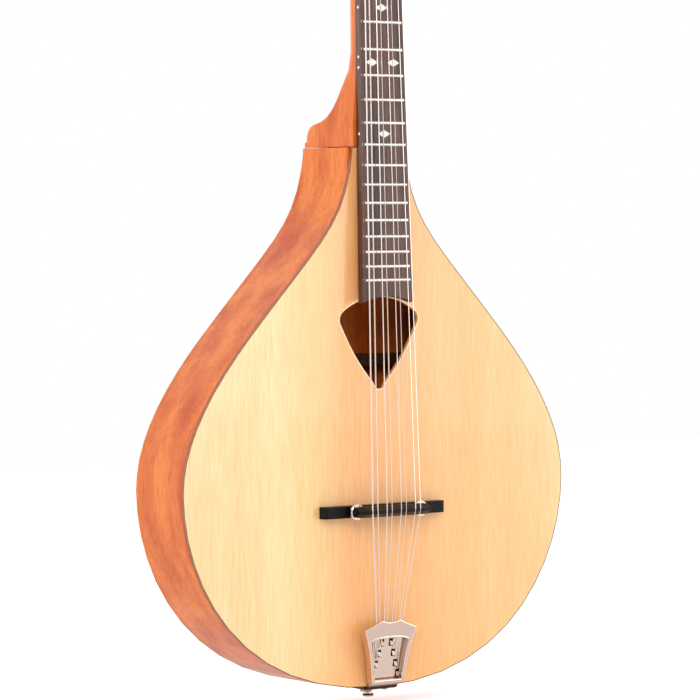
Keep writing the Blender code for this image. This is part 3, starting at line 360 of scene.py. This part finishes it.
# Mahogany, stained and polished: orange-brown with darker drifts under a deep gloss
MAHOGANY = Wood("polished_mahogany", ((0.25, "DC6C22"), (0.75, "F48C3E")),
                ((0.3, "D8A478"), (0.66, "FFFFFF")), grain=Grain.ROUND, line_mm=2.2, band_mm=22.0,
                roughness=0.36, coat=0.6, specular=0.1)
# Sawn mahogany and spruce inside the box, left bare: dull brown darkened to near black with painted shade,
# as the inside of the soundhole lies in shade
SHADED_INNER_WOOD = Wood("inner_wood_painted_shade", ((0.3, "3C2012"), (0.7, "54301C")), ((0.3, "D8C0A8"), (0.7, "FFFFFF")),
                 roughness=0.75, bump=0.1)
# Rosewood, oiled: reddish brown with dark streaks along the board and open pores
ROSEWOOD = Wood("oiled_rosewood", ((0.3, "4A2A22"), (0.7, "7E5446")), ((0.3, "8A6A60"), (0.7, "FFFFFF")),
                line_mm=0.9, band_mm=9.0, roughness=0.42, coat=0.1, bump=0.12)
# Ebony, planed and waxed: almost black, with a faint brown line
EBONY = Wood("waxed_ebony", ((0.3, "050404"), (0.7, "120D0B")), ((0.3, "B0A8A0"), (0.7, "FFFFFF")),
             grain=Grain.ACROSS, line_mm=0.8, roughness=0.4, bump=0.05, specular=0.18)
# Dark brown at the soundboard's edge: a thin line round the front
DARK_EDGE_LINE = Wood("dark_edge_line", ((0.3, "52260E"), (0.7, "74401C")), ((0.3, "D0C0B0"), (0.7, "FFFFFF")),
                  roughness=0.35, coat=0.3, specular=0.2)
# Fresh end grain at the soundhole: a line paler than the face
CUT_SPRUCE = Wood("cut_spruce", ((0.3, "FFE8C0"), (0.7, "FFF4DC")), ((0.3, "F0E4D4"), (0.7, "FFFFFF")),
                  roughness=0.5, specular=0.3)
# Shadow in the slots that the hooks are punched from: dull and almost black
SLOT_SHADOW = Wood("painted_slot_shadow", ((0.3, "0A0807"), (0.7, "1A1412")), ((0.3, "B0A8A0"), (0.7, "FFFFFF")),
               roughness=0.7, specular=0.1)
# Nickel plate on pressed and turned brass: a warm grey with soft reflections
NICKEL = Metal("nickel_plate", "DCC8BE", 0.2)
# The same plate on the folded sheet: floor painted lighter as reflected light, brown painted shade and dark
# reflection where it turns down over the tail
FOLDED_NICKEL = Folded("nickel_fold_painted_shade", "E2D0C6", 0.24)
# Nickel on a rolled edge, painted paler as a highlight: a thin pale line
BRIGHT_NICKEL = Metal("rolled_nickel_edge_highlight", "F6E8DC", 0.22)
# Chrome plate on the thumbwheels: white rings with sharp reflections
CHROME = Metal("mirror_chrome", "E8E8EA", 0.08)
# Steel of the bridge's posts and the truss rod, as turned: plain grey
STEEL = Metal("turned_steel", "B4B0AC", 0.3)
# Nickel silver fret wire, dressed and polished: bright lines across the board
FRET_WIRE = Metal("fret_wire", "F2E8E0", 0.22)
# Plain and wound strings: pale, with the winding as a fine unevenness of the polish
STRING_WIRE = Metal("string_wire", "EFE2DA", 0.26, streak_mm=0.8)
# Bone, sawn and polished: ivory with faint clouds
BONE = Shell("polished_bone", ((0.3, "E2D8BC"), (0.7, "F2ECD8")), cloud_mm=6.0, roughness=0.35)
# Mother of pearl, inlaid and sanded flush: near white
PEARL = Shell("mother_of_pearl", ((0.3, "E4E6E2"), (0.7, "FFFDF6")), cloud_mm=2.0)
# Moulded plastic of the buttons: cream with pearly clouds
PEARLOID = Shell("pearl_plastic", ((0.3, "DCD6C4"), (0.7, "F6F2E4")), cloud_mm=3.0)


def flip_outwards(item: bpy.types.Object) -> None:
    """Turn a closed mesh right side out if the signed volume of its triangles is negative.

    Args:
        item: the piece.
    """
    mesh = item.data
    mesh.calc_loop_triangles()
    places = np.empty(len(mesh.vertices) * 3)
    mesh.vertices.foreach_get("co", places)
    places = places.reshape(-1, 3)
    corners = np.empty(len(mesh.loop_triangles) * 3, dtype=np.int64)
    mesh.loop_triangles.foreach_get("vertices", corners)
    a, b, c = (places[corners[k::3]] for k in range(3))
    if np.einsum("ij,ij->i", a, np.cross(b, c)).sum() < 0:
        mesh.flip_normals()


def piece(name: str, shape: tuple[np.ndarray, list], material: bpy.types.Material,
          smooth: bool = True) -> None:
    """Make a mesh piece of the instrument's own body, dress it and turn its faces outwards.

    Args:
        name: the piece's name.
        shape: its points in metres and its faces.
        material: its finish.
        smooth: whether it is shaded smooth.
    """
    points, faces = shape
    mesh = bpy.data.meshes.new(name)
    mesh.from_pydata(points.tolist(), [], faces)
    mesh.update()
    if smooth:
        mesh.shade_smooth()
        mesh.set_sharp_from_angle(angle=SHARP)
    item = bpy.data.objects.new(name, mesh)
    bpy.context.collection.objects.link(item)
    mesh.materials.append(material)
    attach(item, "instrument")
    flip_outwards(item)
    LOG.info("%s: %d faces", name, len(faces))


def skinned(rows: np.ndarray) -> tuple[np.ndarray, list]:
    """Skin a row of closed profiles: quads from each profile to the next, and a face at both ends.

    Args:
        rows: m x n x 3 places, one profile of n points for each of m stations.

    Returns:
        The points and the faces.
    """
    m, n = rows.shape[:2]
    i, j = np.meshgrid(np.arange(m - 1), np.arange(n), indexing="ij")
    k = (j + 1) % n
    quads = np.stack([i * n + j, i * n + k, (i + 1) * n + k, (i + 1) * n + j], axis=-1).reshape(-1, 4)
    faces = quads.tolist() + [list(range(n))[::-1], list(range((m - 1) * n, m * n))]
    return rows.reshape(-1, 3), faces


@dataclass
class Board:
    """The fingerboard's metalwork and inlays."""

    scale: float = 0.660
    frets: int = 23
    front: float = -0.0065
    nut_half: float = 0.0155
    end_half: float = 0.0233
    length: float = 0.4975
    fret_half: float = 0.00125
    fret_tall: float = 0.00105
    fret_round: float = 0.8
    # Places along a fret and the wire's height there, as shares of its half length and full height
    fret_places: tuple[float, ...] = (-1.0, -0.985, -0.95, -0.9, 0.9, 0.95, 0.985, 1.0)
    fret_rises: tuple[float, ...] = (0.25, 0.7, 0.94, 1.0, 1.0, 0.94, 0.7, 0.25)
    around: int = 9
    inset: float = 0.0005
    lozenge: tuple[float, float] = (0.00565, 0.003)
    markers: tuple[int, ...] = (3, 5, 7, 10, 15)
    double: int = 12
    double_apart: float = 0.0102
    sunk: float = 0.0002
    proud: float = 0.00006
    dot_radius: float = 0.0011
    dot_apart: float = 0.004
    dot_depth: float = -0.0034
    dot_proud: float = 0.00008
    dot_sunk: float = 0.0003
    dot_sides: int = 12

    def down(self, number: float) -> float:
        """Distance of a fret below the nut: scale times one minus two to the minus twelfth of its number."""
        return self.scale * (1.0 - 2.0 ** (-number / 12.0))

    def between(self, number: int) -> float:
        """Distance below the nut of the middle between a fret and the one before it."""
        return (self.down(number - 1) + self.down(number)) / 2

    def half(self, down: float) -> float:
        """Half width of the board at a distance below the nut."""
        return self.nut_half + (self.end_half - self.nut_half) * down / self.length

    def lay_frets(self, material: bpy.types.Material) -> None:
        """Lay the fret wire: a low crown over each fret, its height the sine round it to a power.

        Args:
            material: the wire's finish.
        """
        around = np.linspace(0.0, math.pi, self.around)
        rises = np.array(self.fret_rises)
        for number in range(1, self.frets + 1):
            down = self.down(number)
            along = np.array(self.fret_places) * (self.half(down) - self.inset)
            rows = np.zeros((len(along), self.around, 3))
            rows[:, :, 0] = along[:, None]
            rows[:, :, 1] = self.front - self.fret_tall * rises[:, None] * np.sin(around) ** self.fret_round
            rows[:, :, 2] = -down + self.fret_half * np.cos(around)
            piece(f"fret_{number}", skinned(rows), material)

    def lay_inlays(self, material: bpy.types.Material) -> None:
        """Lay the lozenges between the frets and the dots on the board's bass side.

        Args:
            material: the pearl.
        """
        wide, tall = self.lozenge
        corners = np.array([(wide, 0, 0), (0, 0, tall), (-wide, 0, 0), (0, 0, -tall)])
        single = [(number, 0.0) for number in self.markers]
        places = single + [(self.double, -self.double_apart), (self.double, self.double_apart)]
        for count, (number, x) in enumerate(places, 1):
            middle = -self.between(number)
            ends = np.array([(x, self.front + self.sunk, middle), (x, self.front - self.proud, middle)])
            piece(f"inlay_{count}", skinned(corners + ends[:, None, :]), material, smooth=False)
        angles = np.linspace(0.0, 2 * math.pi, self.dot_sides, endpoint=False)
        ring = np.stack([0 * angles, np.cos(angles), np.sin(angles)], axis=1) * self.dot_radius
        spots = single + [(self.double, -self.dot_apart), (self.double, self.dot_apart)]
        for count, (number, shift) in enumerate(spots, 1):
            down = self.between(number) + shift
            edge = -self.half(down)
            ends = np.array([(edge - self.dot_proud, self.dot_depth, -down),
                             (edge + self.dot_sunk, self.dot_depth, -down)])
            piece(f"side_dot_{count}", skinned(ring + ends[:, None, :]), material, smooth=False)


@dataclass
class Front:
    """The soundboard's front face: the dark line round its edge and the pale line round the hole."""

    middle: float = -0.6
    flat_within: float = 1e-5
    proud: float = 0.00008
    edge_band: tuple[float, float] = (0.00005, 0.0006)
    hole_band: tuple[float, float] = (-0.0009, -0.00005)

    def outline(self, board: bpy.types.Object, hole: bool) -> np.ndarray:
        """Read the corners of the face's outline, or of the hole, in order round their middle.

        Args:
            board: the soundboard.
            hole: whether the hole is wanted.

        Returns:
            n x 2 places as (x, along the board).
        """
        points = np.empty(len(board.data.vertices) * 3)
        board.data.vertices.foreach_get("co", points)
        points = points.reshape(-1, 3)
        front = points[np.abs(points @ np.array(BOARD_NORMAL) - BOARD_PLANE) < self.flat_within]
        flat = np.unique(np.round(np.stack([front[:, 0], front @ np.array(BOARD_UP)], axis=1), 6), axis=0)
        inside = np.hypot(flat[:, 0], flat[:, 1] - HOLE_MIDDLE) < HOLE_REACH
        flat = flat[inside if hole else ~inside]
        middle = flat.mean(axis=0) if hole else np.array([0.0, self.middle])
        return flat[np.argsort(np.arctan2(flat[:, 1] - middle[1], flat[:, 0] - middle[0]))]

    def line(self, name: str, flat: np.ndarray, band: tuple[float, float],
             material: bpy.types.Material) -> None:
        """Lay a flat band that follows a closed outline: four corners at each place, joined in a ring.

        Args:
            name: the piece's name.
            flat: the outline, anticlockwise.
            band: distances of the band's two edges inside the outline.
            material: its finish.
        """
        near, far = band
        along = np.roll(flat, -1, axis=0) - np.roll(flat, 1, axis=0)
        along /= np.linalg.norm(along, axis=1)[:, None]
        inward = np.stack([-along[:, 1], along[:, 0]], axis=1)
        corners = ((near, self.proud), (far, self.proud), (far, -self.proud), (near, -self.proud))
        rows = []
        for inset, rise in corners:
            place = flat + inward * inset
            rows.append(np.outer(place[:, 0], (1.0, 0.0, 0.0)) + np.outer(place[:, 1], BOARD_UP)
                        + (BOARD_PLANE - rise) * np.array(BOARD_NORMAL))
        points = np.stack(rows, axis=1).reshape(-1, 3)
        n = len(flat)
        i, j = np.meshgrid(np.arange(n), np.arange(4), indexing="ij")
        k, m = (i + 1) % n, (j + 1) % 4
        faces = np.stack([i * 4 + j, i * 4 + m, k * 4 + m, k * 4 + j], axis=-1).reshape(-1, 4).tolist()
        piece(name, (points, faces), material, smooth=False)

    def edge_lines(self, board: bpy.types.Object) -> None:
        """Lay both lines on the soundboard."""
        self.line("soundboard_edge", self.outline(board, hole=False), self.edge_band, DARK_EDGE_LINE.make())
        self.line("soundhole_edge", self.outline(board, hole=True), self.hole_band, CUT_SPRUCE.make())


@dataclass
class Tailpiece:
    """The tailpiece's rolled edges, and painted shadow in the slots that its hooks are punched from."""

    joint: float = 0.384
    drop: float = 0.001
    low: float = 0.0098
    high: float = 0.0146
    long: float = 0.049
    foot: float = -0.4084
    top_half: float = 0.0246
    foot_half: float = 0.0152
    crown_half: float = 0.0086
    edge_curve: tuple[float, float] = (0.55, 0.45)
    crown: float = 0.007
    # Bends of the crown's outline, as shares of the top's half width and of the crown's height
    crown_bends: tuple[tuple[float, float], ...] = ((0.74, 0.34), (0.55, 0.6))
    # How far the crown's top dips at half its half width and on the centre line
    crown_dips: tuple[float, float] = (0.0018, 0.0021)
    panel: float = 0.0166
    arch: float = 0.004
    arch_round: float = 0.8
    arch_steps: int = 17
    rail: float = 0.0026
    rail_foot: float = 0.0006
    rail_steps: int = 14
    window_foot: float = 0.003
    window_steps: int = 8
    foot_height: float = 0.0022
    foot_places: tuple[float, ...] = (-1.0, -0.3, 0.3, 1.0)
    floor: float = 0.0046
    bead: float = 0.00034
    bead_sunk: float = 0.0001
    bead_sides: int = 8
    hook_first: float = 0.007
    hook_pitch: float = 0.0082
    hook_half: float = 0.0042
    hook_slant: float = 0.0025
    rows: int = 4
    slot_half: float = 0.0019
    slot_below: float = 0.0036
    slot_above: float = 0.0022
    slot_sunk: float = 0.0002
    slot_proud: float = 0.00006

    def world(self, shape: tuple[np.ndarray, list]) -> tuple[np.ndarray, list]:
        """Turn a shape from the sloping outer face's frame into the part's frame.

        Two turns about X: by the slope at the tail's foot, then by the body's lean at the neck joint.

        Args:
            shape: n x 3 places as (x, below the face, above the foot), and the faces.

        Returns:
            The places in the part's frame, and the same faces.
        """
        points, faces = shape
        slope = math.atan2(self.high - self.low, self.long)
        x, y, z = points.T
        y, z = y * math.cos(slope) - z * math.sin(slope), y * math.sin(slope) + z * math.cos(slope)
        y, z = y - self.low, z + self.foot
        c, s = math.cos(BODY_LEAN), math.sin(BODY_LEAN)
        y, z = y * c - z * s, y * s + z * c
        return np.stack([x, y + self.drop, z - self.joint], axis=1), faces

    def edge(self, z: np.ndarray) -> np.ndarray:
        """Half width at a height: foot to top by a t + b t cubed, t from 0 to 1 at the corners."""
        t = np.clip(z / (self.long - self.crown), 0.0, 1.0)
        a, b = self.edge_curve
        return self.foot_half + (self.top_half - self.foot_half) * (a * t + b * t ** 3)

    def tube(self, name: str, line: np.ndarray, material: bpy.types.Material) -> None:
        """Lay a round bead along a line on the outer face: a circle square to the line at each place.

        Args:
            name: the piece's name.
            line: n x 2 places as (x, above the foot).
            material: the metal.
        """
        along = np.gradient(line, axis=0)
        along /= np.linalg.norm(along, axis=1)[:, None]
        side = np.stack([-along[:, 1], along[:, 0]], axis=1)
        angle = np.linspace(0.0, 2 * math.pi, self.bead_sides, endpoint=False)
        rows = np.zeros((len(line), self.bead_sides, 3))
        flat = line[:, None, :] + side[:, None, :] * np.cos(angle)[None, :, None] * self.bead
        rows[:, :, 0], rows[:, :, 2] = flat[:, :, 0], flat[:, :, 1]
        rows[:, :, 1] = self.bead_sunk + np.sin(angle)[None, :] * self.bead
        piece(name, self.world(skinned(rows)), material)

    def roll_edges(self, material: bpy.types.Material) -> None:
        """Lay a bead round the window, across its foot, and round the rails and the crown.

        Args:
            material: the rolled edge's metal, painted paler as a highlight.
        """
        mirror = (-1.0, 1.0)
        corner = self.long - self.crown
        arch_foot = corner - self.panel + self.crown
        half = float(self.edge(np.array(arch_foot))) - self.rail
        t = np.linspace(0.0, math.pi, self.arch_steps)
        arch = np.stack([half * np.cos(t), arch_foot + self.arch * np.sin(t) ** self.arch_round], axis=1)
        up = np.linspace(self.window_foot, arch_foot, self.window_steps)
        right = np.stack([self.edge(up) - self.rail, up], axis=1)
        left = right[::-1] * mirror
        self.tube("tailpiece_window_edge", np.concatenate([right[:-1], arch, left[1:]]), material)
        across = np.array(self.foot_places) * (self.foot_half - self.rail)
        sill = np.stack([across, np.full(len(across), self.foot_height)], axis=1)
        self.tube("tailpiece_foot_edge", sill, material)
        up = np.linspace(self.rail_foot, corner, self.rail_steps)
        rail = np.stack([self.edge(up) - self.bead, up], axis=1)
        bends = [(out * self.top_half, corner + rise * self.crown) for out, rise in self.crown_bends]
        crown = np.array(bends + [(self.crown_half, self.long - self.bead)])
        shoulder, middle = self.crown_dips
        dip = np.array([(0.5 * self.crown_half, self.long - shoulder), (0.0, self.long - middle)])
        top = np.concatenate([crown, dip, dip[:-1] * mirror, crown[::-1] * mirror])
        self.tube("tailpiece_outer_edge", np.concatenate([rail, top, rail[::-1] * mirror]), material)

    def paint_slot_shadows(self, material: bpy.types.Material) -> None:
        """Lay a painted shadow in the slot under each hook, as wide as the hook and a little longer.

        Args:
            material: the shadow in the slot.
        """
        wide = self.slot_half
        ends = np.array([(0, self.floor + self.slot_sunk, 0), (0, self.floor - self.slot_proud, 0)])
        for row in range(self.rows):
            for label, side in (("bass", -1), ("treble", 1)):
                x = side * (self.hook_half + self.hook_slant * (self.rows - 1 - row))
                z = self.hook_first + self.hook_pitch * row
                low, high = z - self.slot_below, z + self.slot_above
                outline = np.array([(x - wide, 0, low), (x + wide, 0, low),
                                    (x + wide, 0, high), (x - wide, 0, high)])
                shape = self.world(skinned(outline + ends[:, None, :]))
                piece(f"hook_slot_shadow_{label}_{row + 1}", shape, material, smooth=False)


@dataclass
class Dressing:
    """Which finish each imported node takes."""

    finishes: dict = field(default_factory=lambda: {
        "spruce_top": SPRUCE, "mahogany_gloss": MAHOGANY, "inner_wood": SHADED_INNER_WOOD, "rosewood": ROSEWOOD,
        "ebony": EBONY, "bone": BONE, "nickel": NICKEL, "chrome": CHROME, "steel": STEEL,
        "string_steel": STRING_WIRE, "pearloid": PEARLOID})

    def dress(self, frame: dict) -> None:
        """Give every node the material of its slot, and the hook plate its own.

        Args:
            frame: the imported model, as loaded.
        """
        made = {slot: finish.make() for slot, finish in self.finishes.items()}
        for part in frame["record"]["subparts"]:
            item = frame["nodes"][part["node"]]
            item.data.materials.clear()
            item.data.materials.append(made[part["material_slot"]])
            LOG.info("%s: %s", item.name, part["material_slot"])
        # The hook plate takes the nickel with painted shade and dark reflection on its fold
        frame["nodes"]["tailpiece_hook_plate"].data.materials[0] = FOLDED_NICKEL.make()


@dataclass
class Studio:
    """Camera, lamps, world and floor. A lamp is its name, place, aim, edge and watts."""

    place: tuple[float, float, float] = (-1.6505, -2.1871, -0.5111)
    right: tuple[float, float, float] = (0.80351, -0.59484, -0.0231)
    up: tuple[float, float, float] = (0.02434, -0.00594, 0.99968)
    forward: tuple[float, float, float] = (0.59479, 0.80382, -0.0097)
    focal_pixels: float = 3602.3
    image_pixels: float = 700.0
    sensor: float = 36.0
    far: float = 50.0
    lamps: tuple = (("key", (-1.6, -2.2, 0.9), (0, 0, -0.5), 1.6, 34.0),
                    ("fill", (1.9, -1.7, -0.2), (0, 0, -0.5), 1.6, 16.0),
                    ("rim", (-2.0, 1.2, -0.1), (0, 0, -0.6), 1.2, 14.0))
    ambient: float = 0.62
    floor_drop: float = 0.006
    floor_half: float = 4.0
    floor_glow: tuple[float, float] = (0.05, 0.55)

    def camera(self) -> None:
        """Set the camera where the photograph was taken from."""
        data = bpy.data.cameras.new("camera")
        data.sensor_width = self.sensor
        data.lens = self.focal_pixels * self.sensor / self.image_pixels
        data.clip_end = self.far
        item = bpy.data.objects.new("camera", data)
        bpy.context.collection.objects.link(item)
        rows = [(self.right[k], self.up[k], -self.forward[k]) for k in range(3)]
        item.matrix_world = Matrix.Translation(self.place) @ Matrix(rows).to_4x4()
        bpy.context.scene.camera = item

    def lamp(self, name: str, place: tuple, aim: tuple, size: float, power: float) -> None:
        """Add a soft square lamp.

        Args:
            name: the lamp's name.
            place: where it stands.
            aim: the point that it faces.
            size: its edge.
            power: watts.
        """
        data = bpy.data.lights.new(name, "AREA")
        data.size = size
        data.energy = power
        item = bpy.data.objects.new(name, data)
        bpy.context.collection.objects.link(item)
        towards = np.array(aim, dtype=float) - np.array(place, dtype=float)
        towards /= np.linalg.norm(towards)
        side = np.cross(towards, (0.0, 0.0, 1.0))
        side /= np.linalg.norm(side)
        top = np.cross(side, towards)
        rows = [(side[k], top[k], -towards[k]) for k in range(3)]
        item.matrix_world = Matrix.Translation(place) @ Matrix(rows).to_4x4()

    def surroundings(self) -> None:
        """White world for camera, mirror and glass rays, and a plain level of light for the rest."""
        world = bpy.data.worlds.new("studio")
        bpy.context.scene.world = world
        world.use_nodes = True
        tree = world.node_tree
        tree.nodes.clear()
        path = add(tree, "ShaderNodeLightPath")
        first = add(tree, "ShaderNodeMath", {"operation": "MAXIMUM"},
                    {0: path.outputs["Is Camera Ray"], 1: path.outputs["Is Glossy Ray"]})
        second = add(tree, "ShaderNodeMath", {"operation": "MAXIMUM"},
                     {0: first.outputs[0], 1: path.outputs["Is Transmission Ray"]})
        level = add(tree, "ShaderNodeMapRange", {"To Min": self.ambient, "To Max": 1.0},
                    {"Value": second.outputs[0]})
        glow = add(tree, "ShaderNodeBackground", {"Color": (1, 1, 1, 1)},
                   {"Strength": level.outputs["Result"]})
        add(tree, "ShaderNodeOutputWorld", links={"Surface": glow.outputs["Background"]})

    def floor(self, low: float) -> None:
        """Pale paper that keeps the shadow and looks white to the camera.

        Args:
            low: height of the object's lowest point.
        """
        half, z = self.floor_half, low - self.floor_drop
        mesh = bpy.data.meshes.new("floor")
        mesh.from_pydata([(-half, -half, z), (half, -half, z), (half, half, z), (-half, half, z)], [],
                         [(0, 1, 2, 3)])
        floor = bpy.data.objects.new("floor", mesh)
        bpy.context.collection.objects.link(floor)
        material, tree, shader = surface("floor_paper", Base_Color=linear("FAFAFA"), Roughness=0.9,
                                         Emission_Color=(1, 1, 1, 1))
        ray = add(tree, "ShaderNodeLightPath")
        glow = add(tree, "ShaderNodeMapRange", {"To Min": self.floor_glow[0], "To Max": self.floor_glow[1]},
                   {"Value": ray.outputs["Is Camera Ray"]})
        tree.links.new(glow.outputs["Result"], shader.inputs["Emission Strength"])
        mesh.materials.append(material)
        floor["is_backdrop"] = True

    def set_up(self, low: float) -> None:
        """Build the whole studio.

        Args:
            low: height of the object's lowest point.
        """
        self.camera()
        for lamp in self.lamps:
            self.lamp(*lamp)
        self.surroundings()
        self.floor(low)
        bpy.context.scene.view_settings.view_transform = "Standard"


def main() -> None:
    """Load the frame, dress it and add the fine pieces."""
    logging.basicConfig(level=logging.INFO)
    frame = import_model()
    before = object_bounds()
    Studio().set_up(before[0][2])
    Dressing().dress(frame)
    board = Board()
    board.lay_frets(FRET_WIRE.make())
    board.lay_inlays(PEARL.make())
    Front().edge_lines(frame["nodes"]["soundboard"])
    tail = Tailpiece()
    tail.roll_edges(BRIGHT_NICKEL.make())
    tail.paint_slot_shadows(SLOT_SHADOW.make())


if __name__ == "__main__":
    main()
